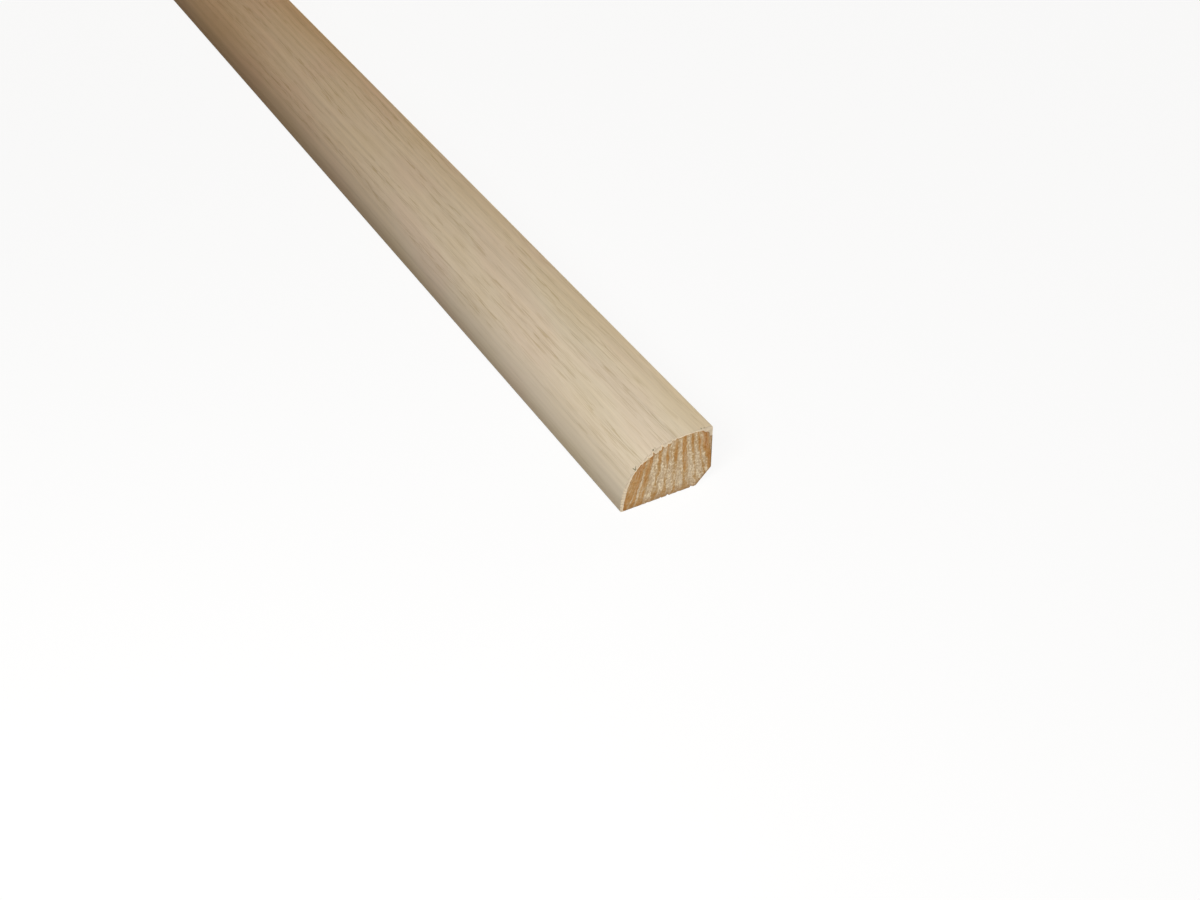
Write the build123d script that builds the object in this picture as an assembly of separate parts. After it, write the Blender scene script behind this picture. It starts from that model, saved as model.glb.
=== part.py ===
"""Base shoe moulding, 3/4 in by 1/2 in, lying on its wide flat face.

A straight pine stick with a rounded front, a flat top and a relieved lower back corner.
A thin veneer is wrapped over the front and the top and turned a little way down the back.
X runs along the stick, -Y is the rounded front, +Y is the flat back and Z is up.
The origin is on the floor, at the middle of the length and of the width.
"""
import os

from build123d import *

INCH = 25.4

# Overall sizes
LENGTH = 78 * INCH
WIDTH = 0.75 * INCH
HEIGHT = 0.5 * INCH

# Section
TOE_HEIGHT = 0.5
BACK_RELIEF = 3.2

# Veneer
VENEER_THICKNESS = 0.6
BACK_RETURN = 2.2
ARRIS_RADIUS = 0.5
TOE_EDGE_RADIUS = 0.4

# Places that follow from the sizes
NOSE_RADIUS = HEIGHT - TOE_HEIGHT
FRONT = -WIDTH / 2
BACK = WIDTH / 2
COS_45 = 0.5 ** 0.5


def front_and_top(inset):
    """Toe, quarter-round nose and flat top, moved into the stick by the inset.

    The nose is a quarter circle about a point that lies one nose radius behind the front
    and as high as the toe. The line starts on the floor and ends at the back.
    """
    front = FRONT + inset
    top = HEIGHT - inset
    radius = NOSE_RADIUS - inset
    centre_y = FRONT + NOSE_RADIUS
    nose_middle = (centre_y - radius * COS_45, TOE_HEIGHT + radius * COS_45)
    toe = Line((front, 0), (front, TOE_HEIGHT))
    nose = ThreePointArc((front, TOE_HEIGHT), nose_middle, (centre_y, top))
    land = Line((centre_y, top), (BACK - inset, top))
    return [toe, nose, land]


def run_along_stick(section):
    """Extrude a section, drawn in the plane across the stick, over the whole length."""
    across = Plane(origin=(-LENGTH / 2, 0, 0), x_dir=(0, 1, 0), z_dir=(1, 0, 0))
    return extrude(across * section, LENGTH)


def pine_core():
    """Pine stick with a shallow rebate that takes the veneer, so that the back is flush."""
    outline = front_and_top(VENEER_THICKNESS)
    outline.append(
        Polyline(
            (BACK - VENEER_THICKNESS, HEIGHT - VENEER_THICKNESS),
            (BACK - VENEER_THICKNESS, HEIGHT - BACK_RETURN),
            (BACK, HEIGHT - BACK_RETURN),
            (BACK, BACK_RELIEF),
            (BACK - BACK_RELIEF, 0),
            (FRONT + VENEER_THICKNESS, 0),
        )
    )
    return run_along_stick(make_face(outline))


def veneer_wrap():
    """Veneer of one thickness over the toe, the nose and the top, with its return down the back."""
    outline = front_and_top(0)
    outline.append(
        Polyline(
            (BACK, HEIGHT),
            (BACK, HEIGHT - BACK_RETURN),
            (BACK - VENEER_THICKNESS, HEIGHT - BACK_RETURN),
            (BACK - VENEER_THICKNESS, HEIGHT - VENEER_THICKNESS),
        )
    )
    outline += front_and_top(VENEER_THICKNESS)
    outline.append(Line((FRONT, 0), (FRONT + VENEER_THICKNESS, 0)))
    wrap = run_along_stick(make_face(outline))
    wrap = round_long_edge(wrap, (BACK, HEIGHT), ARRIS_RADIUS)
    return round_long_edge(wrap, (FRONT, 0), TOE_EDGE_RADIUS)


def round_long_edge(solid, corner, radius):
    """Round the edge along the stick that passes nearest to a corner of the section."""
    long_edges = solid.edges().filter_by(Axis.X)
    return fillet(long_edges.sort_by_distance((0, *corner))[0], radius)


def main():
    os.makedirs("parts", exist_ok=True)
    export_step(pine_core(), "parts/pine_core.step")
    export_step(veneer_wrap(), "parts/veneer_wrap.step")


if __name__ == "__main__":
    main()
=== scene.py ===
"""Looks of one length of base shoe moulding: a raw pine core wrapped in a thin pale veneer.

The stick lies along X on its wide face, with its photographed sawn end at +X, its rounded
front at -Y and its flat back at +Y. Each piece is one grid: a line drawn across the stick
in the (y, z) plane, carried along X through a row of stations, and closed at both cuts.
The run is the distance along the veneer's outer line from its toe. The near cut is the
photographed one. Lengths are in metres, apart from those said to be in millimetres.
"""

import bpy
import numpy as np
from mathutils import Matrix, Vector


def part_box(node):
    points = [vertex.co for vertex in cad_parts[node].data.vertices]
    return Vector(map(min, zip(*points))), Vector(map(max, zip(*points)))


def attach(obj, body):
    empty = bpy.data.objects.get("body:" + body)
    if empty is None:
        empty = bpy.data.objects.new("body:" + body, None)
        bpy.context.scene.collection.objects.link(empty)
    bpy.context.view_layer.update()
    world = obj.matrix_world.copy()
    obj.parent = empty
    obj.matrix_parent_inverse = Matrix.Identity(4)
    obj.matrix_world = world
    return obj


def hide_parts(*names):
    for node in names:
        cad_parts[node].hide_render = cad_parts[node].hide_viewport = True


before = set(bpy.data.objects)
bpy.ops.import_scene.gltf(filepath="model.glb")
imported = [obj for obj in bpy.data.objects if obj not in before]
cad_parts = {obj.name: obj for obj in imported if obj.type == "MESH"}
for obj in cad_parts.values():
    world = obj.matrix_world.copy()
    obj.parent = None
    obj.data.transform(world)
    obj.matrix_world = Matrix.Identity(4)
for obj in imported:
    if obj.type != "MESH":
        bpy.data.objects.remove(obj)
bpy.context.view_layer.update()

MM = 0.001

# Sizes read from the frame
CORE_LOW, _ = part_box("pine_core")
WRAP_LOW, WRAP_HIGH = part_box("veneer_wrap")
HALF_LENGTH = WRAP_HIGH.x
FRONT = WRAP_LOW.y
BACK = WRAP_HIGH.y
TOP = WRAP_HIGH.z
VENEER = CORE_LOW.y - WRAP_LOW.y

# Section sizes
TOE_HEIGHT = 0.5 * MM
TOE_ROUND = 0.4 * MM
NOSE_RADIUS = TOP - TOE_HEIGHT
NOSE_CENTRE = (FRONT + NOSE_RADIUS, TOE_HEIGHT)
ARRIS_ROUND = 0.5 * MM
BACK_RETURN = 2.2 * MM
BACK_RELIEF = 3.2 * MM

# Steps between the points of a section, beside its inner corner and all along, and the number
# of steps in a round
CORNER_STEP = 0.1 * MM
GRAIN_STEP = 0.11 * MM
ROUND_STEPS = 8

# Stations: distances from a sawn end, close together near the cut, and the number of equal
# steps between the two ends
END_STATIONS = np.array([
    0, 0.05, 0.1, 0.17, 0.26, 0.38, 0.54, 0.75, 1.05, 1.5, 2.2, 3.4, 6, 12, 25,
]) * MM
LONG_STEPS = 36

# Where the pine meets the veneer on the near cut, as the saw left it: run, and how deep the
# pine lies below the surface there
GLUE_DEPTHS = np.array([
    (0, 0.60), (2.0, 0.70), (4.0, 0.76), (5.6, 0.64), (7.2, 0.48), (9.0, 0.30), (10.4, 0.30),
    (11.6, 0.46), (13.4, 0.74), (15.2, 0.98), (17.2, 0.80), (18.4, 0.42), (20.0, 0.32),
    (21.2, 0.22), (22.8, 0.22), (24.2, 0.36), (24.9, 0.55), (25.7, 1.05), (26.6, 1.25),
    (27.3, 1.00), (28.1, 0.65), (29.0, 0.60),
]) * MM
SHALLOWEST = 0.12 * MM
GLUE_FADE = 8 * MM
TOE_HOLD = 0.8 * MM
RETURN_HOLD = 1.5 * MM

# Value noise on the glue line, as its size and the run of its cells: a ripple on each cut, and
# on the far one a wave too, which is a share of the veneer
NEAR_RIPPLE = 0.07 * MM
NEAR_RIPPLE_CELL = 0.35 * MM
FAR_RIPPLE = 0.06 * MM
FAR_RIPPLE_CELL = 0.4 * MM
FAR_WAVE = 0.3
FAR_WAVE_CELL = 2.7 * MM

# Spikes of pine in the sawn edge of the veneer: run, half width, height
NEAR_SPIKES = np.array([
    (10.9, 0.28, 0.20), (12.7, 0.22, 0.34), (14.05, 0.30, 0.66), (15.2, 0.18, 0.30),
    (16.1, 0.34, 0.74), (17.3, 0.18, 0.36), (18.3, 0.26, 0.34), (19.2, 0.24, 0.26),
    (23.6, 0.25, 0.12),
]) * MM
FAR_SPIKES = np.array([
    (3.4, 0.25, 0.22), (6.1, 0.35, 0.30), (9.7, 0.25, 0.35), (13.2, 0.30, 0.30),
    (17.9, 0.35, 0.38), (22.4, 0.25, 0.20),
]) * MM

# The veneer's sawn edge: two sizes of value noise with the run of their cells, the share of a
# spike in it, the length over which it fades into the stick, its share at the glue line, the
# roughness of the cut itself with its cells, and the depth at which a tear is fully brown, a
# brown that is partly pine and partly painted shade in the tear
FINE_RAG = 0.030 * MM
FINE_RAG_CELL = 0.3 * MM
WIDE_RAG = 0.025 * MM
WIDE_RAG_CELL = 1.1 * MM
SPIKE_SHARE = 0.20
EDGE_FADE = 0.5 * MM
GLUE_SHARE = 0.35
CUT_ROUGHNESS = 0.03 * MM
CUT_CELL = 0.22 * MM
BROWN_TEAR = 0.3 * MM

# Row of small tears that the saw teeth left in the veneer, low on the front of the near cut
TEAR_ROW = (1.6 * MM, 5.7 * MM)
TEAR_PITCH = 0.6 * MM
TEAR_DEPTH = 0.10 * MM

# Bruised slits in the skin beside the near cut: run and distance from the cut at one end, the
# same at the other, half width and how far the skin sinks; two of them make a V
BRUISES = np.array([
    (14.30, 0.28, 14.42, 0.52, 0.15, 0.10), (14.80, 0.42, 14.85, 0.50, 0.09, 0.03),
    (9.55, 0.00, 9.45, 0.72, 0.11, 0.05), (9.60, 0.05, 10.00, 0.55, 0.10, 0.04),
    (24.30, 0.00, 24.45, 0.42, 0.09, 0.05), (24.95, 0.00, 24.95, 0.20, 0.10, 0.03),
]) * MM

# Shares of the way from the outer line to the glue line where the strip on a cut has points
CUT_SHARES = np.array([0, 0.12, 0.4, 0.75, 1.0])
INNER_SHARES = CUT_SHARES[1:-1]

# Growth rings on the near end, in millimetres: middle of each dark band, its half width and its
# depth of colour, measured from the front at RING_HEIGHT; the first and last are hidden there
RINGS = (
    (-1.10, 0.70, 0.60),
    (0.70, 0.60, 0.55),
    (3.10, 1.28, 0.90),
    (5.45, 0.58, 0.80),
    (7.75, 0.40, 0.60),
    (9.50, 0.34, 0.68),
    (11.40, 0.34, 0.66),
    (13.40, 0.52, 0.72),
    (15.40, 0.34, 0.56),
    (17.00, 0.30, 0.64),
    (18.35, 0.62, 1.00),
    (20.70, 0.60, 0.60),
    (22.60, 0.70, 0.60),
)
RING_HEIGHT = 6.0
RING_LEAN = 0.415
RING_FAN = 0.034
RING_FRONT_SOFT = 0.55
RING_BACK_SOFT = 0.36
PALE_LINE = 3.66
PALE_LINE_WIDTH = 0.13

# Rings of points that close an end of the core: their centre, their sizes as shares of the rim,
# and the distance from the rim that the centre counts as having
CAP_CENTRE = np.array((0.0, 6.0 * MM))
CAP_SHARES = np.concatenate(([0.994, 0.986, 0.97, 0.945], np.linspace(0.92, 0.04, 34)))
CENTRE_TO_RIM = 5 * MM

# Sawn ends of the core, in millimetres: how far early wood, fibres, saw marks and the rim lie
# back, and how wide the rim is eased
EARLY_WOOD_BACK = 0.035
FIBRES_BACK = 0.018
SAW_MARKS_BACK = 0.010
RIM_BACK = 0.06
RIM_EASE = 0.07

# Chips out of the lower edge of the near end: place from the front, half width, height; the
# lengths over which they fade along the stick and upwards, and the height of one whose painted
# shade is full
CHIPS = np.array([
    (5.6, 0.25, 0.08), (8.4, 0.16, 0.14), (9.9, 0.18, 0.24), (12.1, 0.25, 0.08),
    (14.9, 0.20, 0.24),
]) * MM
CHIP_LENGTH = 0.6 * MM
CHIP_FADE = 0.8 * MM
FULL_SHADE_CHIP = 0.4 * MM

# The bake maps: boxes as low and high corners, strips as long as the stick as bottom and
# height, and the left sides of the core's far and near ends
SKIN_STRIP = (0.11, 0.88)
HIDDEN_BOX = ((0.01, 0.075), (0.99, 0.10))
NEAR_CUT_BOX = ((0.01, 0.01), (0.99, 0.035))
FAR_CUT_BOX = ((0.01, 0.042), (0.99, 0.067))
GLUED_BOX = ((0.01, 0.008), (0.99, 0.04))
BARE_STRIP = (0.05, 0.60)
END_LEFTS = (0.01, 0.51)
ENDS_BOTTOM = 0.67
END_WIDTH = 0.48
STRIP_LENGTHS = 6
STRIP_LEFT = 0.01
STRIP_WIDTH = 0.98
STRIP_FILL = 0.94

# Edges that turn by more than this, in degrees, are shaded as sharp
SHARP_ANGLE = 40


def straight(start, end, count):
    """Points at even steps on a line, from its start up to but not including its end."""
    share = np.arange(count)[:, None] / count
    return np.array(start) + share * (np.array(end) - np.array(start))


def arc(centre, radius, first, last, count):
    """Points at even angles on a circle, in degrees from +Y towards +Z, without the last one."""
    angle = np.radians(first + (last - first) * np.arange(count) / count)
    return np.array(centre) + radius * np.column_stack((np.cos(angle), np.sin(angle)))


def steps(length):
    """How many grain steps a stretch of section takes."""
    return max(2, round(length / GRAIN_STEP))


NOSE_STEPS = steps(NOSE_RADIUS * np.pi / 2)
LAND_STEPS = steps(BACK - NOSE_CENTRE[0])
RETURN_STEPS = steps(BACK_RETURN)


def veneer_outside():
    """Outer line of the veneer: toe edge, toe, quarter-round nose, flat top, arris, return."""
    return np.concatenate((
        arc((FRONT + TOE_ROUND, TOE_ROUND), TOE_ROUND, 270, 180, ROUND_STEPS),
        straight((FRONT, TOE_ROUND), (FRONT, TOE_HEIGHT), 1),
        arc(NOSE_CENTRE, NOSE_RADIUS, 180, 90, NOSE_STEPS),
        straight((NOSE_CENTRE[0], TOP), (BACK - ARRIS_ROUND, TOP), LAND_STEPS),
        arc((BACK - ARRIS_ROUND, TOP - ARRIS_ROUND), ARRIS_ROUND, 90, 0, ROUND_STEPS),
        straight((BACK, TOP - ARRIS_ROUND), (BACK, TOP - BACK_RETURN), RETURN_STEPS),
        [(BACK, TOP - BACK_RETURN)],
    ))


def even_glue_line():
    """Inner line of the veneer at its even thickness, point for point below the outer line."""
    front = FRONT + VENEER
    back = BACK - VENEER
    top = TOP - VENEER
    return np.concatenate((
        straight((front, 0), (front, TOE_ROUND), ROUND_STEPS),
        straight((front, TOE_ROUND), (front, TOE_HEIGHT), 1),
        arc(NOSE_CENTRE, NOSE_RADIUS - VENEER, 180, 90, NOSE_STEPS),
        straight((NOSE_CENTRE[0], top), (back - CORNER_STEP, top), LAND_STEPS),
        straight((back - CORNER_STEP, top), (back, top), ROUND_STEPS // 2),
        straight((back, top), (back, top - CORNER_STEP), ROUND_STEPS // 2),
        straight((back, top - CORNER_STEP), (back, TOP - BACK_RETURN), RETURN_STEPS),
        [(back, TOP - BACK_RETURN)],
    ))


def bare_line():
    """The core's line where no veneer covers it: ledge, back, relief and underside."""
    ledge = TOP - BACK_RETURN
    return np.concatenate((
        straight((BACK - VENEER, ledge), (BACK, ledge), steps(VENEER))[1:],
        straight((BACK, ledge), (BACK, BACK_RELIEF), steps(ledge - BACK_RELIEF)),
        straight((BACK, BACK_RELIEF), (BACK - BACK_RELIEF, 0), steps(BACK_RELIEF * 2 ** 0.5)),
        straight((BACK - BACK_RELIEF, 0), (FRONT + VENEER, 0), steps(BACK - BACK_RELIEF - FRONT)),
    ))


def run_along(points):
    """Distance run along a line of points, at each of them."""
    gaps = np.hypot(*np.diff(points, axis=0).T)
    return np.concatenate(([0], np.cumsum(gaps)))


def unit(vectors):
    """Vectors in the plane of the section, each brought to length 1."""
    return vectors / np.hypot(*vectors.T)[:, None]


def stations():
    """X of each station, from the far end to the near end."""
    inner = HALF_LENGTH - END_STATIONS[-1]
    middle = np.linspace(-inner, inner, LONG_STEPS + 1)[1:-1]
    return np.concatenate((END_STATIONS - HALF_LENGTH, middle, HALF_LENGTH - END_STATIONS[::-1]))


STATIONS = stations()
FROM_END = HALF_LENGTH - np.abs(STATIONS)
NEAR_HALF = (STATIONS > 0)[:, None]
OUTSIDE = veneer_outside()
OUTSIDE_RUN = run_along(OUTSIDE)
EVEN_GLUE = even_glue_line()
OUTWARD = unit(OUTSIDE - EVEN_GLUE)


def smooth(share):
    """Smooth step: 0 below 0, 1 above 1 and 3t^2 - 2t^3 between."""
    share = np.clip(share, 0, 1)
    return share * share * (3 - 2 * share)


def patchy(first, second, seed):
    """Value noise from -1 to 1 over two coordinates.

    Every pair of whole numbers has a random height, and smooth steps join the four about a
    place.
    """
    first, second = np.broadcast_arrays(first, second)
    row = np.floor(first).astype(int)
    column = np.floor(second).astype(int)
    down = smooth(first - row)
    right = smooth(second - column)
    row = row - row.min()
    column = column - column.min()
    heights = np.random.default_rng(seed).uniform(-1, 1, (row.max() + 2, column.max() + 2))
    upper = heights[row, column] * (1 - right) + heights[row, column + 1] * right
    lower = heights[row + 1, column] * (1 - right) + heights[row + 1, column + 1] * right
    return upper * (1 - down) + lower * down


def patchy_run(cell, seed):
    """Value noise along the veneer's outer line, with a random height at the end of each cell."""
    return patchy(OUTSIDE_RUN / cell, 0, seed)


def teeth(spikes):
    """Sum of pointed teeth along the run, each falling in a straight line to 0 at its half width."""
    place, half_width, height = spikes.T
    share = 1 - np.abs(OUTSIDE_RUN[:, None] - place) / half_width
    return (height * np.clip(share, 0, 1)).sum(1)


def glue_lines():
    """The glue line at every station: the even line, moved outwards or inwards near each cut.

    The pine's depth below the surface follows GLUE_DEPTHS on the near cut and value noise on
    the far one, less the spikes, and is at least SHALLOWEST. It goes back to the veneer's
    thickness as exp(-distance / GLUE_FADE), and by smooth steps within TOE_HOLD and
    RETURN_HOLD of the line's two ends.
    """
    near = np.interp(OUTSIDE_RUN, *GLUE_DEPTHS.T) - teeth(NEAR_SPIKES)
    near += NEAR_RIPPLE * patchy_run(NEAR_RIPPLE_CELL, seed=11)
    far = VENEER * (1 + FAR_WAVE * patchy_run(FAR_WAVE_CELL, seed=12)) - teeth(FAR_SPIKES)
    far += FAR_RIPPLE * patchy_run(FAR_RIPPLE_CELL, seed=13)
    depth = np.where(NEAR_HALF, near, far).clip(SHALLOWEST, None)
    rise = (VENEER - depth) * np.exp(-FROM_END / GLUE_FADE)[:, None]
    to_return = OUTSIDE_RUN[-1] - OUTSIDE_RUN
    rise = rise * smooth(OUTSIDE_RUN / TOE_HOLD) * smooth(to_return / RETURN_HOLD)
    return EVEN_GLUE + rise[:, :, None] * OUTWARD


def at_every_station(line):
    """One line of the section, repeated at every station."""
    return np.broadcast_to(line, (len(STATIONS),) + line.shape)


def carried(lines):
    """Lines of the section, one for each station, as points in space."""
    points = np.empty(lines.shape[:2] + (3,))
    points[:, :, 0] = STATIONS[:, None]
    points[:, :, 1:] = lines
    return points


def cell_corners(grid):
    """The four corners of every cell of a grid, in order round the cell."""
    return np.stack((grid[:-1, :-1], grid[1:, :-1], grid[1:, 1:], grid[:-1, 1:]), 2)


def quads(rows):
    """Quads on a grid of point numbers, facing left of the way from row to row."""
    return cell_corners(rows).reshape(-1, 4)


def closed(rows):
    """A grid with its first column repeated after its last, so that its rows close."""
    return np.concatenate((rows, rows[:, :1]), 1)


def corner_points(faces):
    """The point number at every corner of a list of face arrays."""
    return np.concatenate([part.ravel() for part in faces])


def make_object(name, points, faces, corner_maps):
    """A mesh object from points, a list of face arrays and UV maps given corner by corner."""
    mesh = bpy.data.meshes.new(name)
    corners = corner_points(faces)
    sizes = np.concatenate([np.full(len(part), part.shape[1]) for part in faces])
    mesh.vertices.add(len(points))
    mesh.vertices.foreach_set("co", points.ravel())
    mesh.loops.add(len(corners))
    mesh.loops.foreach_set("vertex_index", corners.astype(np.int32))
    mesh.polygons.add(len(sizes))
    mesh.polygons.foreach_set("loop_start", (np.cumsum(sizes) - sizes).astype(np.int32))
    mesh.update(calc_edges=True)
    mesh.polygons.foreach_set("use_smooth", np.ones(len(sizes), bool))
    for title, places in corner_maps.items():
        layer = mesh.uv_layers.new(name=title, do_init=False)
        layer.uv.foreach_set("vector", places.astype(np.float32).ravel())
    mesh.set_sharp_from_angle(angle=np.radians(SHARP_ANGLE))
    piece = bpy.data.objects.new(name, mesh)
    bpy.context.scene.collection.objects.link(piece)
    return piece


def add_attribute(piece, name, domain, values):
    """A number for every point or face of a piece, which its material reads by name."""
    layer = piece.data.attributes.new(name, "FLOAT", domain)
    layer.data.foreach_set("value", np.asarray(values, np.float32).ravel())


def mark_faces_after(piece, name, unmarked):
    """A number on every face of a piece: 0 on those of the unmarked face arrays, then 1."""
    first = sum(len(part) for part in unmarked)
    add_attribute(piece, name, "FACE", np.arange(len(piece.data.polygons)) >= first)


def rows_on_map(line_run, bottom, height):
    """Map places of a strip as long as the stick, cut into equal lengths.

    The lengths lie in rows, one above the other. Across a row goes the distance along X from
    the start of its length, and up the row goes the run round the section.
    """
    end = END_STATIONS[-1]
    step = 2 * (HALF_LENGTH - end) / STRIP_LENGTHS
    middle = (STATIONS[:-1] + STATIONS[1:]) / 2
    length = np.clip((middle + HALF_LENGTH - end) // step, 0, STRIP_LENGTHS - 1)
    start = np.where(length == 0, -HALF_LENGTH, end - HALF_LENGTH + length * step)
    before = STRIP_LEFT + STRIP_WIDTH * (STATIONS[:-1] - start) / (step + end)
    after = STRIP_LEFT + STRIP_WIDTH * (STATIONS[1:] - start) / (step + end)
    row_height = height / STRIP_LENGTHS
    up = (line_run - line_run[0]) / (line_run[-1] - line_run[0]) * row_height * STRIP_FILL
    base = bottom + length * row_height
    places = np.empty((len(middle), len(up) - 1, 4, 2))
    places[..., 0] = np.stack((before, after, after, before), -1)[:, None]
    places[..., 1] = base[:, None, None] + np.stack((up[:-1], up[:-1], up[1:], up[1:]), -1)
    return places


def box_on_map(across, up, low, high):
    """Map places of the cells of a grid, fitted into a box from a low to a high corner.

    The grid's own places are two arrays, across and up, that broadcast to its shape.
    """
    across, up = np.broadcast_arrays(across, up)
    across = low[0] + (high[0] - low[0]) * (across - across.min()) / np.ptp(across)
    up = low[1] + (high[1] - low[1]) * (up - up.min()) / np.ptp(up)
    return cell_corners(np.stack((across, up), -1))


def end_on_map(places, left):
    """Map places of an end of the core: its y and z, at one scale, in a box of its own."""
    scale = END_WIDTH / (BACK - FRONT)
    across = left + (places[..., 1] - FRONT) * scale
    return np.stack((across, ENDS_BOTTOM + places[..., 2] * scale), -1)


def one_map(parts):
    """The map places of several lots of faces, one after the other."""
    return np.concatenate([part.reshape(-1, 2) for part in parts])


def sawn_edge(spikes, seed):
    """How far the sawn edge of the veneer is set back at each point of its outer line.

    Two sizes of value noise, and a tooth at each spike of pine.
    """
    fine = FINE_RAG * (1 + patchy_run(FINE_RAG_CELL, seed))
    wide = WIDE_RAG * (1 + patchy_run(WIDE_RAG_CELL, seed + 50))
    return fine + wide + SPIKE_SHARE * teeth(spikes)


def torn_edges():
    """How far the veneer's edge is set back at the near cut and at the far one.

    The near one has the row of tears too, each the smooth step of 1.8 cos(2 pi run /
    TEAR_PITCH) - 0.6.
    """
    in_row = (OUTSIDE_RUN > TEAR_ROW[0]) & (OUTSIDE_RUN < TEAR_ROW[1])
    tears = smooth(1.8 * np.cos(2 * np.pi * OUTSIDE_RUN / TEAR_PITCH) - 0.6)
    near = sawn_edge(NEAR_SPIKES, seed=21) + in_row * TEAR_DEPTH * tears
    return near, sawn_edge(FAR_SPIKES, seed=22)


def set_back(edge):
    """How far each point of the veneer's closed line is set back into the stick.

    The amount at the outer line falls to GLUE_SHARE of it at the glue line, and fades into the
    stick as exp(-distance / EDGE_FADE).
    """
    at_ledge = edge[:, -1:] * (1 - (1 - GLUE_SHARE) * INNER_SHARES)
    at_toe = edge[:, :1] * (1 - (1 - GLUE_SHARE) * INNER_SHARES[::-1])
    around = np.concatenate((edge, at_ledge, GLUE_SHARE * edge[:, ::-1], at_toe), 1)
    return around * np.exp(-FROM_END / EDGE_FADE)[:, None]


def slit_distance(start, end):
    """Distance of every point of the skin from a slit between two points.

    A place on the skin is its run and its distance from the nearer cut.
    """
    run = OUTSIDE_RUN[None, :] - start[0]
    from_end = FROM_END[:, None] - start[1]
    way = (end[0] - start[0], end[1] - start[1])
    share = np.clip((run * way[0] + from_end * way[1]) / (way[0] ** 2 + way[1] ** 2), 0, 1)
    return np.hypot(run - share * way[0], from_end - share * way[1])


def bruised_skin():
    """How dark the skin is bruised, grey of frayed fibres and partly painted shade in the slits, and
    how far it sinks, at every point of its outer line.

    A bruise is exp(-(d / half width)^2), with d the distance from its slit.
    """
    dark = np.zeros((len(STATIONS), len(OUTSIDE)))
    sunk = np.zeros_like(dark)
    for run, from_end, tip_run, tip_from_end, half_width, depth in BRUISES:
        away = slit_distance((run, from_end), (tip_run, tip_from_end))
        bell = np.exp(-(away / half_width) ** 2) * NEAR_HALF
        dark += bell
        sunk += depth * bell
    return dark, sunk


def cut_strip(points, numbers, row, start, seed):
    """The strip that closes the veneer on one cut: its new points and its grid of numbers.

    It runs from the outer line to the glue line of a row of the piece's grid. Its new points,
    numbered from start, lie at INNER_SHARES of the way and are set back by value noise.
    """
    count = len(OUTSIDE)
    layers = len(INNER_SHARES)
    outer = points[row, :count]
    glued = points[row, count + layers:-layers][::-1]
    middle = outer + INNER_SHARES[:, None, None] * (glued - outer)
    fibres = patchy(OUTSIDE_RUN / CUT_CELL, np.arange(layers)[:, None], seed)
    middle[:, :, 0] -= np.sign(outer[:, 0]) * CUT_ROUGHNESS * (1 + fibres)
    new_points = middle[:, 1:-1].reshape(-1, 3)
    inside = start + np.arange(len(new_points)).reshape(layers, -1)
    toe_side = numbers[row, -layers:][::-1]
    ledge_side = numbers[row, count:count + layers]
    inner_rows = np.column_stack((toe_side, inside, ledge_side))
    outer_row = numbers[row, :count]
    glue_row = numbers[row, count + layers:-layers][::-1]
    return new_points, np.vstack((outer_row, inner_rows, glue_row))


def veneer_piece():
    """The veneer: its closed line carried along the stick, and a strip over each cut.

    The line goes along the outside from toe to return, across the ledge, back along the glue
    line and across the toe. Near a cut its points are set back into the stick, and a bruise
    sinks the skin.
    """
    count = len(OUTSIDE)
    layers = len(INNER_SHARES)
    ledge = OUTSIDE[-1] + INNER_SHARES[:, None] * (EVEN_GLUE[-1] - OUTSIDE[-1])
    toe = (OUTSIDE[0] + INNER_SHARES[:, None] * (EVEN_GLUE[0] - OUTSIDE[0]))[::-1]
    outer_lines, ledges, toes = [at_every_station(line) for line in (OUTSIDE, ledge, toe)]
    points = carried(np.concatenate((outer_lines, ledges, glue_lines()[:, ::-1], toes), 1))
    near_torn, far_torn = torn_edges()
    back = set_back(np.where(NEAR_HALF, near_torn, far_torn))
    points[:, :, 0] += np.where(NEAR_HALF, -back, back)
    dark, sunk = bruised_skin()
    points[:, :count, 1:] -= sunk[:, :, None] * OUTWARD

    numbers = np.arange(back.size).reshape(back.shape)
    skin_rows = numbers[:, :count]
    hidden_rows = np.concatenate((numbers[:, count - 1:], numbers[:, :1]), 1)
    near_points, near_rows = cut_strip(points, numbers, -1, numbers.size, seed=23)
    far_start = numbers.size + len(near_points)
    far_points, far_rows = cut_strip(points, numbers, 0, far_start, seed=24)
    points = np.concatenate((points.reshape(-1, 3), near_points, far_points))
    faces = [quads(rows) for rows in (skin_rows, hidden_rows, near_rows, far_rows[::-1])]

    hidden_line = np.concatenate((OUTSIDE[-1:], ledge, EVEN_GLUE[::-1], toe, OUTSIDE[:1]))
    bake_map = one_map((
        rows_on_map(OUTSIDE_RUN, *SKIN_STRIP),
        box_on_map(STATIONS[:, None], run_along(hidden_line), *HIDDEN_BOX),
        box_on_map(OUTSIDE_RUN, CUT_SHARES[:, None], *NEAR_CUT_BOX),
        box_on_map(OUTSIDE_RUN, -CUT_SHARES[::-1, None], *FAR_CUT_BOX),
    ))
    at_return = np.full(layers, OUTSIDE_RUN[-1])
    at_toe = np.full(layers, OUTSIDE_RUN[0])
    loop_run = np.concatenate((OUTSIDE_RUN, at_return, OUTSIDE_RUN[::-1], at_toe))
    strip_run = np.tile(OUTSIDE_RUN[1:-1], 2 * layers)
    run = np.append(np.tile(loop_run, len(STATIONS)), strip_run)
    grain_map = np.column_stack((run, points[:, 0]))[corner_points(faces)]
    piece = make_object("veneer_skin", points, faces, {"grain": grain_map, "OFBake": bake_map})

    mark_faces_after(piece, "cut", faces[:1])
    strip_back = [np.tile(torn[1:-1], layers) for torn in (near_torn, far_torn)]
    torn = np.concatenate((back.ravel(), *strip_back)) / BROWN_TEAR
    add_attribute(piece, "torn", "POINT", torn)
    bruise = np.zeros(len(points))
    bruise[skin_rows] = dark
    add_attribute(piece, "bruise", "POINT", bruise)
    return piece


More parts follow.
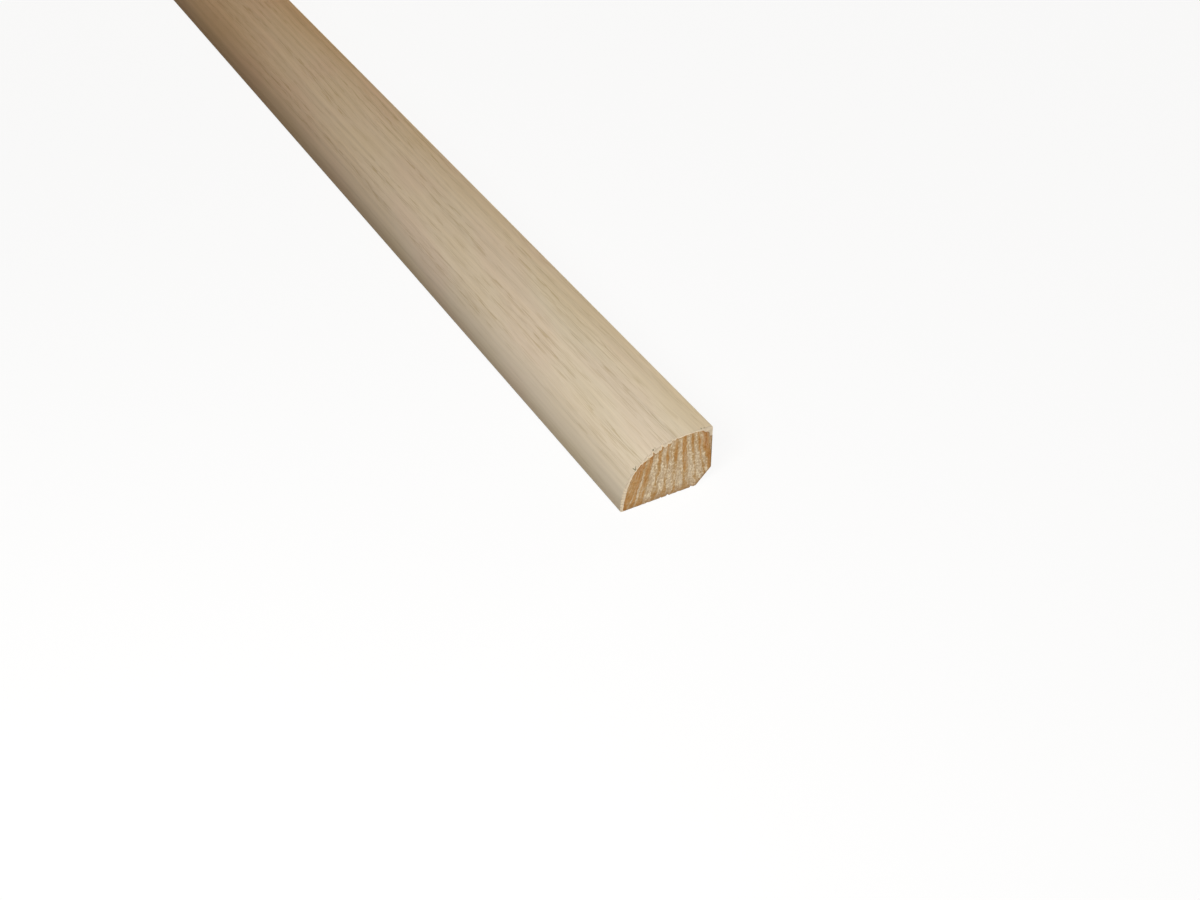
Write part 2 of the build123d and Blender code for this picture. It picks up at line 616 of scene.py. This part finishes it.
def ring_place(points):
    """Place across the growth rings and height, in millimetres.

    The place is y - (z - RING_HEIGHT) * (RING_LEAN - RING_FAN * y) from the front, with a wobble
    of value noise and a slow drift along the stick that is zero at the near end.
    """
    from_near = (HALF_LENGTH - points[:, 0]) / MM
    across = (points[:, 1] - FRONT) / MM
    height = points[:, 2] / MM
    place = across - (height - RING_HEIGHT) * (RING_LEAN - RING_FAN * across)
    place += 0.20 * patchy(across / 1.3, height / 2.1, seed=31)
    place += 0.12 * patchy(across / 0.45, height / 0.7, seed=32)
    place += 0.9 * np.sin(from_near / 260) + 0.5 * np.sin(from_near / 97)
    return place, height


def latewood(place, height):
    """Depth of colour of the growth rings, from 0 in pale early wood to 1.

    Each ring is a band with a soft front side and a sharper back. One pale line runs up inside
    the first of the wide ones, and in the lower middle of the end all of them are fainter.
    """
    depth = np.zeros(len(place))
    for middle, half_width, strength in RINGS:
        offset = place - middle
        soft = np.where(offset < 0, RING_FRONT_SOFT, RING_BACK_SOFT)
        band = smooth((half_width + 0.5 * soft - np.abs(offset)) / soft)
        depth = np.maximum(depth, strength * band)
    pale = np.exp(-((place - PALE_LINE) / PALE_LINE_WIDTH) ** 2) * smooth((5 - height) / 1.5)
    faint = 0.12 * smooth((place - 5) / 2) * smooth((9 - height) / 4) * smooth((17.5 - place) / 2)
    return depth * (1 - 0.6 * pale) * (1 - faint)


def cap_rings(rim):
    """Rings of points that close an end: its rim drawn in towards the centre by CAP_SHARES."""
    rings = np.repeat(rim[None], len(CAP_SHARES), 0)
    rings[:, :, 1:] = CAP_CENTRE + CAP_SHARES[:, None, None] * (rim[:, 1:] - CAP_CENTRE)
    return rings


def core_grid():
    """The core's line at every station, with the rings of each end before and after."""
    body = carried(np.concatenate((glue_lines(), at_every_station(bare_line())), 1))
    return np.concatenate((cap_rings(body[0])[::-1], body, cap_rings(body[-1])))


def rim_distance(grid):
    """Distance of every point of the core's grid from the rim of its end, and 0 on the body."""
    shares = np.concatenate((CAP_SHARES[::-1], np.ones(len(STATIONS)), CAP_SHARES))
    from_centre = np.hypot(*(grid[:, :, 1:] - CAP_CENTRE).transpose(2, 0, 1))
    return from_centre * (1 / shares - 1)[:, None]


def end_roughness(across, height, depth, to_rim):
    """How far an end is set back, in millimetres, from places in millimetres.

    Early wood lies lower than late wood, fibres are value noise, saw marks are a slanting sine,
    and the rim is eased by exp(-distance / RIM_EASE).
    """
    fibres = 1 + patchy(across / 0.22, height / 0.3, seed=41)
    saw_marks = 1 + np.sin((across * 0.5 + height) / 0.11)
    wood = EARLY_WOOD_BACK * (1 - depth) + FIBRES_BACK * fibres
    return wood + (SAW_MARKS_BACK * saw_marks + RIM_BACK * np.exp(-to_rim / (RIM_EASE * MM)))


def rim_brown(across, height, to_rim):
    """How brown an end is: most along its rim, and less in a band below and one behind."""
    below = smooth((1.9 - height + 0.5 * patchy(across / 0.8, 0, seed=42)) / 1.8)
    behind = smooth((across - BACK / MM + 0.9) / 0.7)
    return np.maximum(np.exp(-to_rim / (0.25 * MM)), 0.75 * np.maximum(below, behind))


def chip_lower_edge(points):
    """Lifts and sets back the near end's lower edge at each chip; returns how dark its painted shade
    is there.

    A chip is a bell, exp(-(d / half width)^2) across, that fades along the stick as
    exp(-distance / CHIP_LENGTH) and upwards as exp(-height / CHIP_FADE).
    """
    from_near = HALF_LENGTH - points[:, 0]
    dark = np.zeros(len(points))
    for chip, half_width, size in CHIPS:
        bell = np.exp(-((points[:, 1] - FRONT - chip) / half_width) ** 2)
        bell = bell * np.exp(-from_near / CHIP_LENGTH) * np.exp(-points[:, 2] / CHIP_FADE)
        points[:, 2] += 0.9 * size * bell
        points[:, 0] -= 0.6 * size * bell
        dark += bell * size / FULL_SHADE_CHIP
    return dark


def core_piece():
    """The pine core: its line carried along the stick, closed at both ends by rings of points.

    Each end has the roughness of its growth rings and the saw, and chips are out of the lower
    edge of the near one.
    """
    grid = core_grid()
    around = grid.shape[1]
    caps = len(CAP_SHARES)
    centres = [(-HALF_LENGTH, *CAP_CENTRE), (HALF_LENGTH, *CAP_CENTRE)]
    points = np.concatenate((grid.reshape(-1, 3), centres))
    to_rim = np.append(rim_distance(grid), [CENTRE_TO_RIM, CENTRE_TO_RIM])
    end_row = np.ones(len(grid), bool)
    end_row[caps + 1:-caps - 1] = False
    on_end = np.append(np.repeat(end_row, around), [True, True])
    place, height = ring_place(points)
    depth = latewood(place, height)
    across = points[:, 1] / MM
    rough = MM * end_roughness(across, height, depth, to_rim)
    points[:, 0] -= np.sign(points[:, 0]) * np.where(on_end, rough, 0)
    chip_shade = chip_lower_edge(points)

    numbers = closed(np.arange(len(grid) * around).reshape(len(grid), around))
    far_centre = np.full(around, len(points) - 2)
    near_centre = np.full(around, len(points) - 1)
    far_fan = np.stack((far_centre, numbers[0, :-1], numbers[0, 1:]), -1)
    near_fan = np.stack((numbers[-1, :-1], near_centre, numbers[-1, 1:]), -1)
    body_rows = numbers[caps:-caps]
    last_glued = len(OUTSIDE) - 1
    long_faces = [quads(body_rows[:, :last_glued + 1]), quads(body_rows[:, last_glued:])]
    end_faces = [quads(numbers[:caps + 1]), quads(numbers[-caps - 1:]), far_fan, near_fan]
    faces = long_faces + end_faces

    bare_run = run_along(np.concatenate((EVEN_GLUE[-1:], bare_line(), EVEN_GLUE[:1])))
    bake_map = one_map((
        box_on_map(STATIONS[:, None], OUTSIDE_RUN, *GLUED_BOX),
        rows_on_map(bare_run, *BARE_STRIP),
        *[end_on_map(points[part], left) for part, left in zip(end_faces, END_LEFTS * 2)],
    ))
    rings_map = np.column_stack((place, height))[corner_points(faces)]
    piece = make_object("pine_stick", points, faces, {"rings": rings_map, "OFBake": bake_map})

    mark_faces_after(piece, "end_grain", long_faces)
    add_attribute(piece, "latewood", "POINT", depth)
    add_attribute(piece, "rim", "POINT", np.where(on_end, rim_brown(across, height, to_rim), 0))
    # chip: how dark the painted shade in each chip is
    add_attribute(piece, "chip", "POINT", chip_shade)
    return piece


def linear(red, green, blue):
    """A colour written in screen levels, 0 to 255, as linear light."""
    level = np.array((red, green, blue)) / 255
    light = np.where(level <= 0.04045, level / 12.92, ((level + 0.055) / 1.055) ** 2.4)
    return (*light.tolist(), 1.0)


def new_material(name, roughness, specular):
    """A material whose shader keeps a plain roughness and specular level."""
    material = bpy.data.materials.new(name)
    material.use_nodes = True
    shader = material.node_tree.nodes["Principled BSDF"]
    shader.inputs["Roughness"].default_value = roughness
    shader.inputs["Specular IOR Level"].default_value = specular
    return material, material.node_tree, shader


def feed(tree, socket, value):
    """Links a socket to another one, or writes a number or colour on it."""
    if isinstance(value, bpy.types.NodeSocket):
        tree.links.new(value, socket)
    else:
        socket.default_value = value


def maths(tree, operation, first, second=0.0, third=0.0):
    """One step of arithmetic on numbers or sockets."""
    node = tree.nodes.new("ShaderNodeMath")
    node.operation = operation
    for socket, value in zip(node.inputs, (first, second, third)):
        feed(tree, socket, value)
    return node.outputs[0]


def times(tree, first, second):
    """Two numbers or sockets multiplied."""
    return maths(tree, "MULTIPLY", first, second)


def named_value(tree, name):
    """The number that a piece keeps under a name on its points or faces."""
    node = tree.nodes.new("ShaderNodeAttribute")
    node.attribute_name = name
    return node.outputs["Fac"]


def map_place(tree, name):
    """The place on one of a piece's maps."""
    node = tree.nodes.new("ShaderNodeUVMap")
    node.uv_map = name
    return node.outputs[0]


def parts_of(tree, vector):
    """The three parts of a vector."""
    node = tree.nodes.new("ShaderNodeSeparateXYZ")
    feed(tree, node.inputs[0], vector)
    return node.outputs


def stretched(tree, vector, scale):
    """A vector with each part multiplied by its own scale."""
    node = tree.nodes.new("ShaderNodeVectorMath")
    node.operation = "MULTIPLY"
    feed(tree, node.inputs[0], vector)
    node.inputs[1].default_value = scale
    return node.outputs[0]


def noise(tree, vector, scale, detail, offset):
    """Soft noise from about 0.25 to 0.75, on a vector scaled in each direction and moved."""
    moved = tree.nodes.new("ShaderNodeVectorMath")
    moved.operation = "ADD"
    feed(tree, moved.inputs[0], stretched(tree, vector, scale))
    moved.inputs[1].default_value = (offset, offset * 0.7, offset * 1.3)
    node = tree.nodes.new("ShaderNodeTexNoise")
    node.inputs["Scale"].default_value = 1.0
    node.inputs["Detail"].default_value = detail
    tree.links.new(moved.outputs[0], node.inputs["Vector"])
    return node.outputs[0]


def between(tree, value, low, high, out_low=0.0, out_high=1.0):
    """A value mapped smoothly from one range to another and held at its ends."""
    node = tree.nodes.new("ShaderNodeMapRange")
    node.interpolation_type = "SMOOTHSTEP"
    feed(tree, node.inputs["Value"], value)
    node.inputs["From Min"].default_value = low
    node.inputs["From Max"].default_value = high
    node.inputs["To Min"].default_value = out_low
    node.inputs["To Max"].default_value = out_high
    return node.outputs[0]


def blend(tree, share, first, second, kind="MIX"):
    """Two colours blended by a share."""
    node = tree.nodes.new("ShaderNodeMix")
    node.data_type = "RGBA"
    node.blend_type = kind
    feed(tree, node.inputs[0], share)
    feed(tree, node.inputs[6], first)
    feed(tree, node.inputs[7], second)
    return node.outputs[2]


def tinted(tree, share, colour, tint):
    """A colour multiplied by a tint, blended by a share with the colour as it was."""
    return blend(tree, share, colour, tint, "MULTIPLY")


def bump(tree, height, distance, strength):
    """Relief finer than the mesh, as a height times a distance."""
    node = tree.nodes.new("ShaderNodeBump")
    node.inputs["Strength"].default_value = strength
    node.inputs["Distance"].default_value = distance
    feed(tree, node.inputs["Height"], height)
    return node.outputs[0]


# Colours and tints of the veneer, and how much its pores show
CREAM = linear(226, 214, 191)
TAN = linear(194, 160, 119)
CUT_CREAM = linear(230, 215, 190)
# Brown of torn fibres and pine on the cut, partly painted shade in the tears
TORN_BROWN_AND_SHADE = linear(190, 152, 100)
# Grey of the bruised veneer, partly painted shade in its slits
BRUISE_GREY_AND_SHADE = linear(130, 126, 100)
PINK_TINT = (1.0, 0.97, 0.985, 1)
YELLOW_TINT = (0.985, 0.98, 0.95, 1)
TOE_TINT = (0.95, 0.885, 0.81, 1)
# Painted light: brightens and pinks the flank, standing in for light falling on it
FLANK_PAINTED_LIGHT = (1.045, 1.025, 1.035, 1)
ARRIS_TINT = (0.95, 0.90, 0.83, 1)
PORE_TINT = (0.74, 0.68, 0.53, 1)
PORE_SHARE = 0.7

# Slow tone along the veneer, partly the wood's own and partly painted fall-off of light away
# from the near cut, in millimetres from the near cut: where it is palest, how fast it turns, how
# far a noise shifts it, the stretch over which it is held back, and to what share
TONE_PALEST = 55.0
TONE_RATE = 0.0102
TONE_SHIFT = 160.0
TONE_HELD_FROM = 200.0
TONE_HELD_TO = 340.0
TONE_HELD = 0.45

# Distance between rows of pores, in millimetres
ROW_PITCH = 1.9


def veneer_tone(tree, place, run, from_near):
    """The veneer's colour before its grain.

    It goes from cream to tan and back along the stick, as half of 1 - cos((d - TONE_PALEST) *
    TONE_RATE), with d the distance from the near cut plus a slow noise; this is partly the wood's
    own tone and partly painted fall-off of light away from the near cut. Faint pink and yellow
    patches lie over it, tints of the toe and the arris, and painted light on the flank.
    """
    shift = noise(tree, place, (0.05, 0.004, 0), 1.0, 3.1)
    shifted = maths(tree, "MULTIPLY_ADD", shift, TONE_SHIFT, from_near)
    # Partly painted fall-off of light: palest near the near cut, browner away from it
    turn = times(tree, maths(tree, "SUBTRACT", shifted, TONE_PALEST), TONE_RATE)
    browner = maths(tree, "MULTIPLY_ADD", maths(tree, "COSINE", turn), -0.5, 0.5)
    held = between(tree, from_near, TONE_HELD_FROM, TONE_HELD_TO, 1.0, TONE_HELD)
    colour = blend(tree, times(tree, browner, held), CREAM, TAN)
    patches = noise(tree, place, (0.11, 0.035, 0), 1.0, 7.7)
    # Painted light on the flank, where the run is from about 2 to 13 mm
    flank_light = times(tree, between(tree, run, 2.0, 5.0), between(tree, run, 13.0, 8.0))
    for share, tint in (
        (between(tree, patches, 0.48, 0.65, 0.0, 0.8), PINK_TINT),
        (between(tree, patches, 0.50, 0.33, 0.0, 0.8), YELLOW_TINT),
        (between(tree, run, 5.0, 0.0), TOE_TINT),
        (between(tree, run, 17.0, 27.0), ARRIS_TINT),
        (flank_light, FLANK_PAINTED_LIGHT),
    ):
        colour = tinted(tree, share, colour, tint)
    return colour


def pore_rows(tree, place, run, along):
    """The place that pores are drawn at, swaying slowly across the grain, and their rows.

    The rows are cos(2 pi s / ROW_PITCH), with s the swaying run plus an uneven spacing.
    """
    sway = between(tree, noise(tree, place, (0.06, 0.012, 0), 1.0, 8.1), 0.25, 0.75, -0.7, 0.7)
    swaying = maths(tree, "ADD", run, sway)
    bent = tree.nodes.new("ShaderNodeCombineXYZ")
    tree.links.new(swaying, bent.inputs[0])
    tree.links.new(along, bent.inputs[1])
    uneven = between(tree, noise(tree, place, (0.35, 0.006, 0), 0.0, 3.7), 0.3, 0.7, -0.5, 0.5)
    spaced = maths(tree, "ADD", swaying, uneven)
    rows = maths(tree, "COSINE", times(tree, spaced, 2 * np.pi / ROW_PITCH))
    return bent.outputs[0], rows


def veneer_streaks(tree, place, from_near, rows, fine):
    """Streaks as a brightness about 1: two noises, and rows that darken away from the near cut."""
    wide = noise(tree, place, (0.62, 0.010, 0), 0.0, 1.3)
    darker = between(tree, from_near, 50.0, 130.0, -0.014, -0.036)
    soft = between(tree, wide, 0.35, 0.65, -0.015, 0.015)
    sharp = between(tree, fine, 0.3, 0.7, -0.025, 0.025)
    streak = maths(tree, "ADD", maths(tree, "MULTIPLY_ADD", rows, darker, soft), sharp)
    return maths(tree, "ADD", streak, 1.0)


def veneer_pores(tree, place, run, bent, rows):
    """Open pores, from 0 to 1: short dashes along the rows and finer hairs, both in zones.

    The zones are a slow noise, and are weaker low on the front.
    """
    zones = between(tree, noise(tree, place, (0.28, 0.022, 0), 1.0, 2.2), 0.40, 0.60, 0.40, 0.95)
    zones = times(tree, zones, between(tree, run, 4.5, 8.5, 0.3, 1.0))
    in_rows = times(tree, zones, between(tree, rows, -0.3, 0.8, 0.22, 1.0))
    dashes = between(tree, noise(tree, bent, (5.6, 0.18, 0), 0.0, 9.4), 0.54, 0.62)
    dashes = times(tree, dashes, in_rows)
    hairs = between(tree, noise(tree, bent, (8.0, 0.18, 0), 1.0, 4.8), 0.52, 0.64, 0.0, 0.5)
    return maths(tree, "MAXIMUM", dashes, times(tree, hairs, zones))


def veneer_finish():
    """Pale lacquered veneer, bare on its cut, which is browner where it is torn, partly as painted
    shade in the tears.

    Its colour reads the grain map, which is the run round the section and x, in millimetres.
    """
    material, tree, shader = new_material("pale_veneer", roughness=0.7, specular=0.09)
    place = stretched(tree, map_place(tree, "grain"), (1 / MM, 1 / MM, 0))
    run, along, _ = parts_of(tree, place)
    from_near = maths(tree, "SUBTRACT", HALF_LENGTH / MM, along)
    fine = noise(tree, place, (1.9, 0.030, 0), 1.0, 5.9)
    bent, rows = pore_rows(tree, place, run, along)
    pores = veneer_pores(tree, place, run, bent, rows)
    colour = veneer_tone(tree, place, run, from_near)
    colour = tinted(tree, 1.0, colour, veneer_streaks(tree, place, from_near, rows, fine))
    colour = tinted(tree, times(tree, pores, PORE_SHARE), colour, PORE_TINT)
    # Browner where the cut's edge is set back: torn fibres and painted shade in the tears
    torn = between(tree, named_value(tree, "torn"), 0.4, 1.0)
    cut_colour = blend(tree, torn, CUT_CREAM, TORN_BROWN_AND_SHADE)
    colour = blend(tree, named_value(tree, "cut"), colour, cut_colour)
    # Bruises: grey of frayed veneer and painted shade in their slits
    bruise = between(tree, named_value(tree, "bruise"), 0.15, 0.8, 0.0, 0.9)
    colour = blend(tree, bruise, colour, BRUISE_GREY_AND_SHADE)
    tree.links.new(colour, shader.inputs["Base Color"])
    height = maths(tree, "SUBTRACT", times(tree, fine, 0.4), pores)
    relief = bump(tree, height, distance=0.04 * MM, strength=0.5)
    tree.links.new(relief, shader.inputs["Normal"])
    return material


# Colours and tints of the pine, where late and resin-rich wood lie on the scale of the rings,
# and how much the brown of the rim shows
EARLY_WOOD = linear(222, 203, 175)
LATE_WOOD = linear(202, 169, 122)
RESIN_WOOD = linear(202, 154, 96)
DARK_RESIN = linear(188, 133, 75)
LATE_AT = 0.42
RESIN_AT = 0.72
RIM_BROWN = linear(166, 120, 66)
RIM_SHARE = 0.7
# Painted shade in the chips of the near end's lower edge
CHIP_SHADE_BROWN = linear(70, 46, 24)
# Painted highlight: the colour of the glints on the end grain
GLINT_HIGHLIGHT = linear(252, 237, 206)
SPECK_TINT = (0.85, 0.79, 0.70, 1)
VEIN_TINT = (0.86, 0.78, 0.66, 1)
LINE_TINT = (0.80, 0.74, 0.62, 1)


def ring_depth(tree, cut_place, height, end):
    """Depth of colour of the rings: the piece's own late wood, made uneven by noises.

    Strokes along the rings show on the ends alone, the wood is deeper towards the top, and the
    long faces have about half the contrast of the ends.
    """
    coarse = between(tree, noise(tree, cut_place, (0.9, 0.35, 0), 1.0, 3.3), 0.3, 0.7, -0.13, 0.13)
    strokes = noise(tree, cut_place, (3.6, 0.40, 0), 1.0, 4.7)
    strokes = times(tree, between(tree, strokes, 0.34, 0.66, -0.18, 0.18), end)
    depth = maths(tree, "ADD", named_value(tree, "latewood"), coarse)
    depth = maths(tree, "ADD", depth, strokes)
    depth = maths(tree, "ADD", depth, between(tree, height, 5.0, 9.5, 0.0, 0.22))
    return times(tree, depth, maths(tree, "MULTIPLY_ADD", end, 0.45, 0.55))


def ring_colour(tree, depth):
    """Colour of the rings, from cream through tan to orange, by their depth."""
    node = tree.nodes.new("ShaderNodeValToRGB")
    ramp = node.color_ramp
    ramp.elements[0].color = EARLY_WOOD
    ramp.elements[1].color = DARK_RESIN
    ramp.elements.new(LATE_AT).color = LATE_WOOD
    ramp.elements.new(RESIN_AT).color = RESIN_WOOD
    tree.links.new(times(tree, depth, 0.76), node.inputs[0])
    return node.outputs[0]


def cut_fibres(tree, colour, cut_place, fibres, depth, end):
    """The end grain's speckle over a colour: painted glints of highlight, mostly in early wood, dark
    specks and veins.
    """
    painted_glints = between(tree, fibres, 0.53, 0.64)
    painted_glints = times(tree, painted_glints, between(tree, depth, 0.8, 0.2, 0.12, 0.9))
    veins = noise(tree, cut_place, (4.8, 0.22, 0), 1.0, 2.9)
    specks = between(tree, fibres, 0.48, 0.34)
    dark_veins = between(tree, veins, 0.50, 0.64, 0.0, 0.6)
    light_veins = between(tree, veins, 0.46, 0.34, 0.0, 0.45)
    colour = blend(tree, times(tree, painted_glints, end), colour, GLINT_HIGHLIGHT)
    colour = tinted(tree, times(tree, specks, end), colour, SPECK_TINT)
    colour = tinted(tree, times(tree, dark_veins, end), colour, VEIN_TINT)
    return blend(tree, times(tree, light_veins, end), colour, EARLY_WOOD)


def pine_finish():
    """Raw pine, browner on the rim of an end, with painted shade in its chips.

    On the ends a speckle of cut fibres, with painted glints of highlight, lies over the growth
    rings, read from the rings map, the place across the rings and the height. On the long faces
    fine lines along X do.
    """
    material, tree, shader = new_material("raw_pine", roughness=0.7, specular=0.15)
    coordinates = tree.nodes.new("ShaderNodeTexCoord")
    place = stretched(tree, coordinates.outputs["Object"], (1 / MM, 1 / MM, 1 / MM))
    cut_place = map_place(tree, "rings")
    end = named_value(tree, "end_grain")
    depth = ring_depth(tree, cut_place, parts_of(tree, place)[2], end)
    fibres = noise(tree, cut_place, (3.4, 2.4, 0), 1.0, 8.8)
    colour = cut_fibres(tree, ring_colour(tree, depth), cut_place, fibres, depth, end)
    lines = noise(tree, place, (0.02, 5.0, 5.0), 2.0, 6.1)
    along = maths(tree, "SUBTRACT", 1.0, end)
    lined = times(tree, between(tree, lines, 0.5, 0.72, 0.0, 0.5), along)
    colour = tinted(tree, lined, colour, LINE_TINT)
    rim = times(tree, named_value(tree, "rim"), RIM_SHARE)
    colour = blend(tree, rim, colour, RIM_BROWN)
    # Painted shade in the chips of the lower edge
    colour = blend(tree, between(tree, named_value(tree, "chip"), 0.2, 0.9), colour, CHIP_SHADE_BROWN)
    tree.links.new(colour, shader.inputs["Base Color"])
    on_ends = times(tree, fibres, end)
    height = maths(tree, "ADD", on_ends, times(tree, lines, 0.5))
    relief = bump(tree, height, distance=0.06 * MM, strength=0.6)
    tree.links.new(relief, shader.inputs["Normal"])
    return material


# Camera, placed from the near lower front corner of the stick; angles in degrees, and its lens
# and sensor in millimetres
CAMERA_AHEAD = 211.2 * MM
CAMERA_ASIDE = 121.7 * MM
CAMERA_HEIGHT = 207.2 * MM
CAMERA_AZIMUTH = 60.90
CAMERA_ELEVATION = 38.35
CAMERA_LENS = 53.43
SENSOR_WIDTH = 36
CLIP_START = 10 * MM


def add_camera():
    """The photo's view, without roll or shift."""
    data = bpy.data.cameras.new("camera")
    data.sensor_width = SENSOR_WIDTH
    data.lens = CAMERA_LENS
    data.clip_start = CLIP_START
    camera = bpy.data.objects.new("camera", data)
    camera.location = (HALF_LENGTH + CAMERA_AHEAD, FRONT - CAMERA_ASIDE, CAMERA_HEIGHT)
    camera.rotation_euler = (np.radians(90 - CAMERA_ELEVATION), 0, np.radians(CAMERA_AZIMUTH))
    bpy.context.scene.collection.objects.link(camera)
    bpy.context.scene.camera = camera


def add_lamp(name, kind, place, aim, energy, size, colour):
    """A soft lamp at a place, turned so that its -Z points at its aim, and hidden from the camera.

    The size of an area lamp is its two sides, and that of a distant one the angle it spans.
    """
    data = bpy.data.lights.new(name, kind)
    data.energy = energy
    data.color = colour
    if kind == "AREA":
        data.shape = "RECTANGLE"
        data.size, data.size_y = size
    else:
        data.angle = size
    lamp = bpy.data.objects.new(name, data)
    lamp.location = place
    ahead, aside, up = np.array(aim) - np.array(place)
    azimuth = np.arctan2(aside, ahead)
    slope = np.arctan2(np.hypot(ahead, aside), -up)
    lamp.rotation_euler = (slope, 0, azimuth - np.pi / 2)
    lamp.visible_camera = False
    bpy.context.scene.collection.objects.link(lamp)


WHITE_LIGHT = (1.0, 1.0, 1.0)
WARM_LIGHT = (1.0, 0.94, 0.86)
LONG_LAMP_X = HALF_LENGTH - 1.18


def add_lamps():
    """Area lamps before the near end, beyond the far end and along the rest, and distant ones.

    The distant ones shine from overhead and in front, both from beyond the near end, and low
    from behind.
    """
    near = (HALF_LENGTH, 0, TOP)
    far = (-HALF_LENGTH, 0, 0)
    along = (LONG_LAMP_X, 0, 0)
    key_place = (HALF_LENGTH + 0.10, FRONT - 0.142, 0.176)
    add_lamp("key", "AREA", key_place, near, 0.38, (0.10, 0.10), WHITE_LIGHT)
    far_place = (-HALF_LENGTH - 0.20, 0.03, 0.12)
    add_lamp("far", "AREA", far_place, far, 0.40, (0.12, 0.12), WARM_LIGHT)
    long_place = (LONG_LAMP_X, -0.085, 0.15)
    add_lamp("long", "AREA", long_place, along, 0.97, (1.52, 0.06), WARM_LIGHT)
    for name, place, energy, spread in (
        ("overhead", (0.93, -0.07, 1.0), 1.50, 35),
        ("front", (1.0, -0.08, 0.35), 0.35, 35),
        ("back", (-0.3, 0.95, 0.04), 2.2, 12),
    ):
        add_lamp(name, "SUN", place, (0, 0, 0), energy, np.radians(spread), WARM_LIGHT)


def seen_directly(tree):
    """1 for a camera, glossy or transmission ray, and 0 for the light that a surface scatters."""
    path = tree.nodes.new("ShaderNodeLightPath")
    either = maths(tree, "MAXIMUM", path.outputs["Is Camera Ray"], path.outputs["Is Glossy Ray"])
    return maths(tree, "MAXIMUM", either, path.outputs["Is Transmission Ray"])


def mixed_surface(tree, share, first, second, output_kind):
    """Mixes two shaders by a share, and links them to the surface of a new output."""
    mix = tree.nodes.new("ShaderNodeMixShader")
    for socket, value in zip(mix.inputs, (share, first, second)):
        tree.links.new(value, socket)
    output = tree.nodes.new(output_kind)
    tree.links.new(mix.outputs[0], output.inputs["Surface"])


# Floor: half its side, its matt grey for scattered light and as seen, and its share of glow
FLOOR_HALF = 300.0
FLOOR_SCATTERS = (0.08, 0.08, 0.08, 1)
FLOOR_SEEN = (0.98, 0.98, 0.98, 1)
FLOOR_GLOW = 0.88

# World: the dim warm light that it gives, and the white that is seen
WORLD_LIGHT = (1.0, 0.93, 0.84, 1)
WORLD_STRENGTH = 0.03
WORLD_SEEN = (0.93, 0.93, 0.93, 1)


def add_floor():
    """A floor wide enough to fill every view, part glow and part matt white to keep the shadow."""
    corners = FLOOR_HALF * np.array([(-1, -1, 0), (1, -1, 0), (1, 1, 0), (-1, 1, 0)])
    floor = make_object("floor", corners, [np.array([[0, 1, 2, 3]])], {})
    material = bpy.data.materials.new("pale_floor")
    material.use_nodes = True
    tree = material.node_tree
    tree.nodes.clear()
    seen = seen_directly(tree)
    matt = tree.nodes.new("ShaderNodeBsdfDiffuse")
    tree.links.new(blend(tree, seen, FLOOR_SCATTERS, FLOOR_SEEN), matt.inputs["Color"])
    glow = tree.nodes.new("ShaderNodeEmission")
    share = times(tree, seen, FLOOR_GLOW)
    mixed_surface(tree, share, matt.outputs[0], glow.outputs[0], "ShaderNodeOutputMaterial")
    floor.data.materials.append(material)


def add_world():
    """A white surround for what is seen directly, and a dim warm light all round for the rest."""
    world = bpy.data.worlds.new("studio")
    bpy.context.scene.world = world
    world.use_nodes = True
    tree = world.node_tree
    tree.nodes.clear()
    dim = tree.nodes.new("ShaderNodeBackground")
    dim.inputs["Color"].default_value = WORLD_LIGHT
    dim.inputs["Strength"].default_value = WORLD_STRENGTH
    white = tree.nodes.new("ShaderNodeBackground")
    white.inputs["Color"].default_value = WORLD_SEEN
    share = seen_directly(tree)
    mixed_surface(tree, share, dim.outputs[0], white.outputs[0], "ShaderNodeOutputWorld")


def main():
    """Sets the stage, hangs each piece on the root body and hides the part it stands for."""
    bpy.context.scene.view_settings.view_transform = "Standard"
    add_camera()
    add_floor()
    add_world()
    add_lamps()
    wrap = veneer_piece()
    wrap.data.materials.append(veneer_finish())
    core = core_piece()
    core.data.materials.append(pine_finish())
    for piece, node, slot in ((wrap, "veneer_wrap", "pale_veneer"), (core, "pine_core", "raw_pine")):
        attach(piece, "root")
        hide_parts(node)


main()
